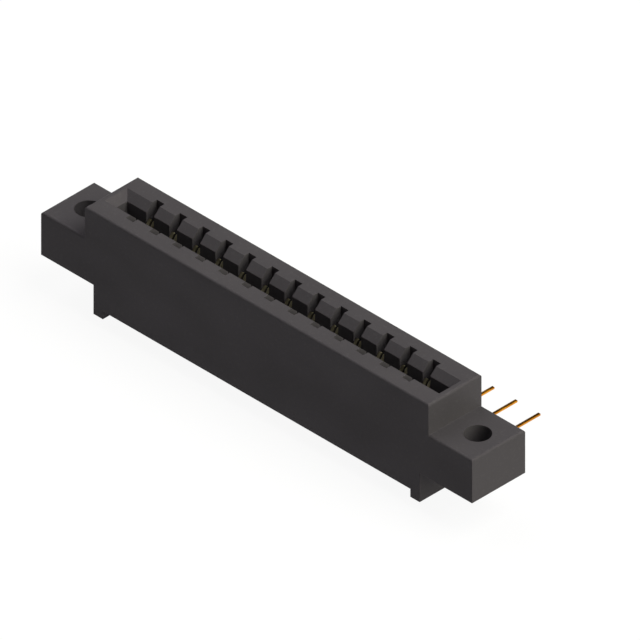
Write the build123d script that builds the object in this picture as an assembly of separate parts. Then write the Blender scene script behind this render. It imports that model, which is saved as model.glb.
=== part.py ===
from build123d import *
import os

# Card edge connector: one moulded insulator and a row of forked, right-angled spring contacts.
# Lengths are in millimetres. X runs along the contact row, Y from the front face to the back,
# where the solder tails leave, and Z up. The origin is midway between the two ear holes, on
# the underside of the ears.

# Contact row
contact_count = 13
contact_pitch = 3.9624

# Insulator, outside
body_width = 9.15
end_wall = 1.84
ear_length = 7.52
ear_height = 6.35
rise_above_ears = 4.54
skirt_inset = 1.5
skirt_depth = 3.14
foot_length = 1.62
foot_height = 1.19
top_rounding = 0.34

# Screw holes in the ears
ear_hole_diameter = 3.56
ear_hole_to_end = 3.62

# Card slot and its lead-in
slot_width = 1.78
slot_depth = 8.4
lead_in = 1.02

# Contact channels in the two long walls of the slot
outer_wall = 1.875
channel_side_clearance = 0.05
base_thickness = 4.0
grip_clearance = 0.02

# Formed contact, cut from strip. The spring's reach into the slot and its depth are those of
# the corner between its two straight runs, before the bend rounds it off. The tips' set-back
# is from the slot's wall to the middle of the strip.
strip_thickness = 0.25
contact_width = 1.2
tine_gap = 0.28
tine_root_height = 2.0
tip_depth = 2.05
tip_set_back = 0.46
spring_reach = 0.5
spring_depth = 3.3
heel_height = 1.6
spring_radius = 1.0
tip_round = 0.12

# Stop shoulder, drop and solder tail
shoulder_width = 1.9
shoulder_height = 0.5
tail_width = 0.38
tail_drop = 2.64
tail_reach = 15.88
tail_bend_radius = 0.6
tail_point = 0.1

# Places that follow from the sizes above
slot_length = (contact_count + 1) * contact_pitch
body_length = slot_length + 2 * end_wall
overall_length = body_length + 2 * ear_length
skirt_length = body_length - 2 * skirt_inset
ear_hole_x = overall_length / 2 - ear_hole_to_end
top_z = ear_height + rise_above_ears
base_z = -skirt_depth
channel_width = contact_width + 2 * channel_side_clearance
channel_back = body_width / 2 - outer_wall
channel_floor = base_z + base_thickness
shank_y = channel_back - grip_clearance - strip_thickness / 2
grip_width = contact_width + 2 * grip_clearance
grip_thickness = strip_thickness + 2 * grip_clearance
tail_z = base_z - tail_drop
tail_end_y = body_width / 2 + tail_reach


def contact_places():
    """X of each contact, with the row centred on the slot."""
    first = -(contact_count - 1) * contact_pitch / 2
    return [first + number * contact_pitch for number in range(contact_count)]


def block(x_size, y_low, y_high, z_low, z_high, x_centre=0.0):
    """Upright block, given by its size along X and its limits along Y and Z."""
    size_y = y_high - y_low
    size_z = z_high - z_low
    middle = (x_centre, (y_low + y_high) / 2, (z_low + z_high) / 2)
    return Pos(*middle) * Box(x_size, size_y, size_z)


def full_width_block(x_size, z_low, z_high, x_centre=0.0):
    """Upright block from the front face to the back."""
    return block(x_size, -body_width / 2, body_width / 2, z_low, z_high, x_centre)


def with_round_top(upright):
    """The same block with the edges of its top rounded."""
    return fillet(upright.faces().sort_by(Axis.Z)[-1].edges(), top_rounding)


def insulator_blank():
    """Outside of the moulding: body, ears, skirt and the foot at each end of the skirt."""
    body = with_round_top(full_width_block(body_length, 0, top_z))
    ears = with_round_top(full_width_block(overall_length, 0, ear_height))
    skirt = full_width_block(skirt_length, base_z, 0)
    foot_x = (skirt_length - foot_length) / 2
    left_foot = full_width_block(foot_length, base_z - foot_height, base_z, -foot_x)
    right_foot = full_width_block(foot_length, base_z - foot_height, base_z, foot_x)
    return body + ears + skirt + left_foot + right_foot


def card_slot():
    """Slot for the card, with a lead-in at 45 degrees round its mouth."""
    slot = block(slot_length, -slot_width / 2, slot_width / 2, top_z - slot_depth, top_z)
    mouth = Rectangle(slot_length + 2 * lead_in, slot_width + 2 * lead_in)
    funnel = extrude(Plane.XY.offset(top_z) * mouth, amount=-lead_in, taper=45)
    return slot + funnel


def contact_cavity(x, side):
    """Channel and grip slit for one contact, on the back (side 1) or front (side -1) wall."""
    channel = block(channel_width, 0, channel_back, channel_floor, top_z, x)
    grip_inner = shank_y - grip_thickness / 2
    grip_outer = shank_y + grip_thickness / 2
    slit = block(grip_width, grip_inner, grip_outer, base_z, channel_floor, x)
    cavity = channel + slit
    return cavity if side > 0 else mirror(cavity, Plane.XZ)


def insulator():
    """One moulding, open at the top for the card and through its base for the shanks."""
    body = insulator_blank() - card_slot()
    for x in contact_places():
        body -= contact_cavity(x, 1)
        body -= contact_cavity(x, -1)
    for x in (-ear_hole_x, ear_hole_x):
        body -= Pos(x, 0, ear_height / 2) * Cylinder(ear_hole_diameter / 2, ear_height)
    return body


def strip_path():
    """Middle line of the strip in the YZ plane, from the tine tips to the tail's end."""
    tip = (slot_width / 2 + tip_set_back, top_z - tip_depth)
    touch = (slot_width / 2 - spring_reach + strip_thickness / 2, top_z - spring_depth)
    heel = (shank_y, channel_floor + heel_height)
    corner = (shank_y, tail_z)
    end = (tail_end_y, tail_z)
    bends = [spring_radius, spring_radius, tail_bend_radius]
    return FilletPolyline(tip, touch, heel, corner, end, radius=bends)


def front_outline():
    """Outline of the contact seen from the front: two tines, shank, shoulder and narrow tail."""
    tip_z = top_z - tip_depth
    below_tail = tail_z - strip_thickness
    shoulder_top = base_z - grip_clearance
    shoulder_bottom = shoulder_top - shoulder_height
    tine_root = channel_floor + tine_root_height
    blade = Pos(0, (tip_z + shoulder_top) / 2) * Rectangle(contact_width, tip_z - shoulder_top)
    fork = Pos(0, (tip_z + tine_root) / 2) * Rectangle(tine_gap, tip_z - tine_root)
    root = Pos(0, tine_root) * Circle(tine_gap / 2)
    forked = blade - fork - root
    tines = fillet(forked.vertices().group_by(Axis.Y)[-1], tip_round)
    stop = Pos(0, shoulder_top - shoulder_height / 2) * Rectangle(shoulder_width, shoulder_height)
    tail_height = shoulder_bottom - below_tail
    tail = Pos(0, below_tail + tail_height / 2) * Rectangle(tail_width, tail_height)
    return tines + stop + tail


def contact():
    """Contact at X = 0: the bent strip, cut to its outline from the front, with a bevelled end."""
    path = Plane.YZ * strip_path()
    start = Plane(origin=path @ 0, x_dir=(1, 0, 0), z_dir=path % 0)
    strip = sweep(start * Rectangle(shoulder_width, strip_thickness), path=path)
    cutter = extrude(Plane.XZ * front_outline(), amount=tail_end_y + body_width, both=True)
    formed = strip & cutter
    return chamfer(formed.faces().sort_by(Axis.Y)[-1].edges(), tail_point)


os.makedirs("parts", exist_ok=True)
export_step(insulator(), "parts/insulator.step")
formed_contact = contact()
for number, x in enumerate(contact_places(), start=1):
    export_step(Pos(x, 0, 0) * formed_contact, f"parts/contact_{number:02d}.step")
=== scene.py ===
import math

import bpy
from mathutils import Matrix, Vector


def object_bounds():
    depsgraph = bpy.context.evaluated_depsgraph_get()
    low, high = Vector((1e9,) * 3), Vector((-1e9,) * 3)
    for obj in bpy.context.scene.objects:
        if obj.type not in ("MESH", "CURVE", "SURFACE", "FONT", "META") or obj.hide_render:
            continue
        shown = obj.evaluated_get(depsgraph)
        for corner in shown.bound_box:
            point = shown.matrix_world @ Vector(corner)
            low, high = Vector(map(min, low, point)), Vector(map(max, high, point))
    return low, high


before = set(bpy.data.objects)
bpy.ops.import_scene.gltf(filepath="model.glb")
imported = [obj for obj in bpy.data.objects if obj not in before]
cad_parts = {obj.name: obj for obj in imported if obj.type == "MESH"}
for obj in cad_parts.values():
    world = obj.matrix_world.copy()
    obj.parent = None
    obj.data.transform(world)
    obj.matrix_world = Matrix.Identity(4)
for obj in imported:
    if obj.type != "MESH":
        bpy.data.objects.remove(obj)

# Looks of the card edge connector: a dark moulding and gold-plated contacts in a plain studio.
# Lengths are in metres, angles in degrees and colours in linear light.

CAD_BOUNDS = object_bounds()

# The photograph's view: true isometric, an image of 640 by 640 pixels
PIXELS_ACROSS = 640
PIXELS_PER_METRE = 8216.0
VIEW_AZIMUTH = 45.0
VIEW_ELEVATION = 35.264
VIEW_CENTRE = (0.003173, 0.003173, 0.00651)
CAMERA_DISTANCE = 0.5

# Floor and backdrop. Each lift is the glow, added to the matte colour, that makes it look white.
FLOOR_HALF_SIZE = 3.0
FLOOR_COLOUR = (0.10, 0.10, 0.10, 1.0)
FLOOR_LIFT = 0.92
BACKDROP_DROP = 0.05
BACKDROP_LIFT = 1.0

# Lamps. A direction points from the object to the lamp, and softness is its width in the sky.
TOP_LAMP = {
    "direction": (-0.56, 0.0, 0.83),
    "strength": 0.92,
    "softness": 56.0,
    "colour": (1.0, 1.0, 1.0),
}
SIDE_LAMP = {
    "direction": (0.46, 0.19, 0.87),
    "strength": 1.72,
    "softness": 40.0,
    "colour": (1.0, 1.0, 0.95),
}
LOW_LAMP = {
    "direction": (0.9, 0.17, 0.42),
    "strength": 1.52,
    "softness": 50.0,
    "colour": (0.99, 0.99, 0.82),
}

# World: dark, but brighter towards one side, with a level of its own for glossy rays. The rise is
# the range of the cosine to the bright side over which it brightens.
WORLD_BRIGHT = (0.12, 0.12, 0.12, 1.0)
WORLD_DARK = (0.02, 0.02, 0.021, 1.0)
WORLD_BRIGHT_SIDE = (1.0, 0.1, 0.0)
WORLD_RISE = (-0.1, 1.0)
WORLD_GLOSS = (0.10, 0.10, 0.10, 1.0)

# Range in which most values of a noise texture lie
NOISE_RANGE = (0.35, 0.65)

# Moulded plastic
PLASTIC_LIGHT = (0.081, 0.075, 0.0805, 1.0)
PLASTIC_DARK = (0.073, 0.0675, 0.073, 1.0)
PLASTIC_WORN = (0.112, 0.106, 0.110, 1.0)
PLASTIC_ROUGHNESS = (0.50, 0.58)
PLASTIC_SHEEN = 0.165
PLASTIC_SHEEN_TINT = (1.0, 0.84, 1.0, 1.0)
MOTTLE_SIZE = 0.006
MOTTLE_DETAIL = 4.0
MOTTLE_STRETCH = (0.45, 1.0, 1.0)
SPECK_SIZE = 0.00045
SPECK_DETAIL = 2.0
SPECK_RANGE = (0.55, 0.8)
SPECK_SHARE = 0.35
GRAIN_SIZE = 0.00018
GRAIN_DETAIL = 2.0
GRAIN_DEPTH = 0.000006

# Edges, found by how far a bevelled normal turns from the face's own. The turn is the cosine that
# counts as a full edge and the one that counts as flat.
EDGE_SAMPLES = 6
EDGE_TURN = (0.75, 0.99)
PLASTIC_EDGE_WIDTH = 0.00007
PLASTIC_EDGE_WEAR = (0.15, 0.6)
GOLD_EDGE_WIDTH = 0.0000175
GOLD_EDGE_WEAR = 0.2

# Plated contacts: rich gold on the tails, turning between two heights to a greyer, dimmer gold on
# the springs, which is painted shade for the springs that sit deep in the shaded slot
TAIL_GOLD = ((0.60, 0.22, 0.006, 1.0), (0.78, 0.32, 0.012, 1.0))
TAIL_ROUGHNESS = (0.14, 0.26)
# Greyer, dimmer gold for the springs: painted shade of the slot they sit in
SPRING_GOLD_PAINTED_SHADE = ((0.42, 0.385, 0.24, 1.0), (0.53, 0.485, 0.32, 1.0))
SPRING_ROUGHNESS = (0.30, 0.42)
ZONE_HEIGHTS = (-0.002, 0.0)
CLOUD_SIZE = 0.0012
CLOUD_DETAIL = 4.0
SCRATCH_SIZE = 0.00012
SCRATCH_DETAIL = 3.0
SCRATCH_STRETCH = (1.0, 0.08, 0.08)
SCRATCH_DEPTH = 0.0000012
SCRATCH_STRENGTH = 0.8


class Shader:
    """Small helper that adds nodes to one node tree and joins them."""

    def __init__(self, tree):
        self.tree = tree
        tree.nodes.clear()

    def add(self, kind, settings=None, **inputs):
        """Add a node, set its plain properties and its inputs, and return it."""
        node = self.tree.nodes.new(kind)
        for name, value in (settings or {}).items():
            setattr(node, name, value)
        for name, value in inputs.items():
            self.feed(node.inputs[name.replace("_", " ")], value)
        return node

    def feed(self, socket, value):
        """Set a socket's own value, or join it to another node's output."""
        if isinstance(value, bpy.types.NodeSocket):
            self.tree.links.new(value, socket)
        else:
            socket.default_value = value

    def pair(self, kind, operation, first, second):
        """Work out one value from two, with a Math or a Vector Math node."""
        node = self.add(kind, {"operation": operation})
        self.feed(node.inputs[0], first)
        self.feed(node.inputs[1], second)
        return node.outputs["Value"]

    def maths(self, operation, first, second):
        """Number from two numbers."""
        return self.pair("ShaderNodeMath", operation, first, second)

    def dot(self, first, second):
        """Dot product of two vectors."""
        return self.pair("ShaderNodeVectorMath", "DOT_PRODUCT", first, second)

    def noise(self, place, size, detail, stretch=(1.0, 1.0, 1.0)):
        """Noise of a given grain size, from 0 to 1, stretched along the axes."""
        scale = tuple(part / size for part in stretch)
        mapping = self.add("ShaderNodeMapping", Vector=place, Scale=scale)
        vector = mapping.outputs["Vector"]
        texture = self.add("ShaderNodeTexNoise", Vector=vector, Scale=1.0, Detail=detail)
        return texture.outputs["Fac"]

    def spread(self, value, low, high, start=NOISE_RANGE[0], end=NOISE_RANGE[1]):
        """Map a value between start and end to the range from low to high."""
        node = self.add("ShaderNodeMapRange", Value=value)
        limits = {"From Min": start, "From Max": end, "To Min": low, "To Max": high}
        for name, number in limits.items():
            node.inputs[name].default_value = number
        return node.outputs["Result"]

    def blend(self, factor, first, second):
        """Mix two colours."""
        node = self.add("ShaderNodeMix", {"data_type": "RGBA"})
        colour_inputs = [socket for socket in node.inputs if socket.type == "RGBA"]
        self.feed(node.inputs[0], factor)
        self.feed(colour_inputs[0], first)
        self.feed(colour_inputs[1], second)
        return next(socket for socket in node.outputs if socket.type == "RGBA")


def new_material(name):
    """Empty node material and its helper."""
    material = bpy.data.materials.new(name)
    material.use_nodes = True
    return material, Shader(material.node_tree)


def edge_mask(shader, width):
    """1 near the edges of a solid and 0 on its faces, and the bevelled normal that shows it."""
    bevel = shader.add("ShaderNodeBevel", {"samples": EDGE_SAMPLES}, Radius=width)
    soft_normal = bevel.outputs["Normal"]
    plain_normal = shader.add("ShaderNodeNewGeometry").outputs["Normal"]
    turn = shader.dot(soft_normal, plain_normal)
    return shader.spread(turn, 1.0, 0.0, *EDGE_TURN), soft_normal


def moulded_plastic():
    """Dark moulded thermoplastic: faint mottle and specks, fine grain and slightly paler edges."""
    material, shader = new_material("moulded_plastic")
    place = shader.add("ShaderNodeTexCoord").outputs["Object"]
    mottle = shader.noise(place, MOTTLE_SIZE, MOTTLE_DETAIL, MOTTLE_STRETCH)
    speck = shader.noise(place, SPECK_SIZE, SPECK_DETAIL)
    grain = shader.noise(place, GRAIN_SIZE, GRAIN_DETAIL)
    worn, soft_normal = edge_mask(shader, PLASTIC_EDGE_WIDTH)

    base = shader.blend(shader.spread(mottle, 0.0, 1.0), PLASTIC_DARK, PLASTIC_LIGHT)
    speckling = shader.spread(speck, 0.0, SPECK_SHARE, *SPECK_RANGE)
    flecked = shader.blend(speckling, base, PLASTIC_WORN)
    wear = shader.maths("MULTIPLY", worn, shader.spread(mottle, *PLASTIC_EDGE_WEAR))
    bump = shader.add(
        "ShaderNodeBump", Height=grain, Distance=GRAIN_DEPTH, Strength=1.0, Normal=soft_normal
    )
    surface = shader.add(
        "ShaderNodeBsdfPrincipled",
        Base_Color=shader.blend(wear, flecked, PLASTIC_WORN),
        Roughness=shader.spread(mottle, *PLASTIC_ROUGHNESS),
        Normal=bump.outputs["Normal"],
        Specular_IOR_Level=PLASTIC_SHEEN,
        Specular_Tint=PLASTIC_SHEEN_TINT,
    )
    shader.add("ShaderNodeOutputMaterial", Surface=surface.outputs["BSDF"])
    return material


def gold_plate():
    """Gold in two zones, the springs' zone greyer and dimmer as painted shade: clouded tone,
    scratches drawn along the strip and paler edges.
    """
    material, shader = new_material("gold_plate")
    place = shader.add("ShaderNodeTexCoord").outputs["Object"]
    height = shader.add("ShaderNodeSeparateXYZ", Vector=place).outputs["Z"]
    zone = shader.spread(height, 0.0, 1.0, *ZONE_HEIGHTS)
    cloud = shader.noise(place, CLOUD_SIZE, CLOUD_DETAIL)
    drawn = shader.noise(place, SCRATCH_SIZE, SCRATCH_DETAIL, SCRATCH_STRETCH)
    worn, soft_normal = edge_mask(shader, GOLD_EDGE_WIDTH)

    clouded = shader.spread(cloud, 0.0, 1.0)
    tail = shader.blend(clouded, *TAIL_GOLD)
    # Springs: greyer, dimmer gold, painted as the shade of the slot
    spring_painted_shade = shader.blend(clouded, *SPRING_GOLD_PAINTED_SHADE)
    base = shader.blend(zone, tail, spring_painted_shade)
    edge_tone = shader.blend(zone, TAIL_GOLD[1], SPRING_GOLD_PAINTED_SHADE[1])
    wear = shader.spread(worn, 0.0, GOLD_EDGE_WEAR, 0.0, 1.0)
    roughness = shader.add("ShaderNodeMix", {"data_type": "FLOAT"}, Factor=zone)
    shader.feed(roughness.inputs["A"], shader.spread(cloud, *TAIL_ROUGHNESS))
    shader.feed(roughness.inputs["B"], shader.spread(cloud, *SPRING_ROUGHNESS))
    bump = shader.add(
        "ShaderNodeBump",
        Height=drawn,
        Distance=SCRATCH_DEPTH,
        Strength=SCRATCH_STRENGTH,
        Normal=soft_normal,
    )
    surface = shader.add(
        "ShaderNodeBsdfPrincipled",
        Base_Color=shader.blend(wear, base, edge_tone),
        Metallic=1.0,
        Roughness=roughness.outputs["Result"],
        Normal=bump.outputs["Normal"],
    )
    shader.add("ShaderNodeOutputMaterial", Surface=surface.outputs["BSDF"])
    return material


def dress_nodes():
    """Give each CAD node its material, in place of the plain one."""
    plastic = moulded_plastic()
    gold = gold_plate()
    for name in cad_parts:
        obj = bpy.data.objects[name]
        obj.data.materials.clear()
        obj.data.materials.append(plastic if name == "insulator" else gold)


def seen_level(shader, level):
    """The level for camera, glossy and transmission rays, and 0 for the rest."""
    rays = shader.add("ShaderNodeLightPath").outputs
    camera_or_glossy = shader.maths("MAXIMUM", rays["Is Camera Ray"], rays["Is Glossy Ray"])
    seen = shader.maths("MAXIMUM", camera_or_glossy, rays["Is Transmission Ray"])
    return shader.maths("MULTIPLY", seen, level)


def stage_plane(name, height, lift):
    """Wide level sheet of the studio: matte, with a glow that is seen but lights nothing matte."""
    bpy.ops.mesh.primitive_plane_add(size=2 * FLOOR_HALF_SIZE, location=(0, 0, height))
    plane = bpy.context.object
    plane.name = name
    material, shader = new_material(name)
    matte = shader.add("ShaderNodeBsdfDiffuse", Color=FLOOR_COLOUR)
    glow = shader.add("ShaderNodeEmission", Strength=seen_level(shader, lift))
    both = shader.add("ShaderNodeAddShader")
    shader.feed(both.inputs[0], matte.outputs["BSDF"])
    shader.feed(both.inputs[1], glow.outputs["Emission"])
    shader.add("ShaderNodeOutputMaterial", Surface=both.outputs["Shader"])
    plane.data.materials.append(material)


def studio_floor():
    """Floor under the object, and a sheet below it for cameras that start lower than the floor."""
    floor_height = CAD_BOUNDS[0][2]
    stage_plane("studio_floor", floor_height, FLOOR_LIFT)
    stage_plane("studio_backdrop", floor_height - BACKDROP_DROP, BACKDROP_LIFT)


def far_lamp(name, direction, strength, softness, colour):
    """Broad distant lamp that shines from a direction."""
    lamp = bpy.data.lights.new(name, "SUN")
    lamp.energy = strength
    lamp.angle = math.radians(softness)
    lamp.color = colour
    holder = bpy.data.objects.new(name, lamp)
    holder.rotation_euler = Vector(direction).to_track_quat("Z", "Y").to_euler()
    bpy.context.scene.collection.objects.link(holder)


def studio_light():
    """Soft lamps from the upper left and from the right, and a dim world that darkens leftwards."""
    far_lamp("top_lamp", **TOP_LAMP)
    far_lamp("side_lamp", **SIDE_LAMP)
    far_lamp("low_lamp", **LOW_LAMP)

    world = bpy.data.worlds.new("studio_world")
    world.use_nodes = True
    bpy.context.scene.world = world
    shader = Shader(world.node_tree)
    direction = shader.add("ShaderNodeTexCoord").outputs["Generated"]
    bright_side = tuple(Vector(WORLD_BRIGHT_SIDE).normalized())
    rise = shader.spread(shader.dot(direction, bright_side), 0.0, 1.0, *WORLD_RISE)
    sky = shader.blend(rise, WORLD_DARK, WORLD_BRIGHT)
    glossy = shader.add("ShaderNodeLightPath").outputs["Is Glossy Ray"]
    colour = shader.blend(glossy, sky, WORLD_GLOSS)
    background = shader.add("ShaderNodeBackground", Color=colour, Strength=1.0)
    shader.add("ShaderNodeOutputWorld", Surface=background.outputs["Background"])


def photo_camera():
    """Orthographic camera at the photograph's angle, scale and centre."""
    azimuth = math.radians(VIEW_AZIMUTH)
    elevation = math.radians(VIEW_ELEVATION)
    away = Vector((math.sin(azimuth), -math.cos(azimuth), math.tan(elevation))).normalized()
    data = bpy.data.cameras.new("photo_camera")
    data.type = "ORTHO"
    data.ortho_scale = PIXELS_ACROSS / PIXELS_PER_METRE
    camera = bpy.data.objects.new("photo_camera", data)
    camera.location = Vector(VIEW_CENTRE) + away * CAMERA_DISTANCE
    camera.rotation_euler = away.to_track_quat("Z", "Y").to_euler()
    bpy.context.scene.collection.objects.link(camera)
    bpy.context.scene.camera = camera


photo_camera()
studio_light()
studio_floor()
dress_nodes()
bpy.context.scene.view_settings.view_transform = "Standard"
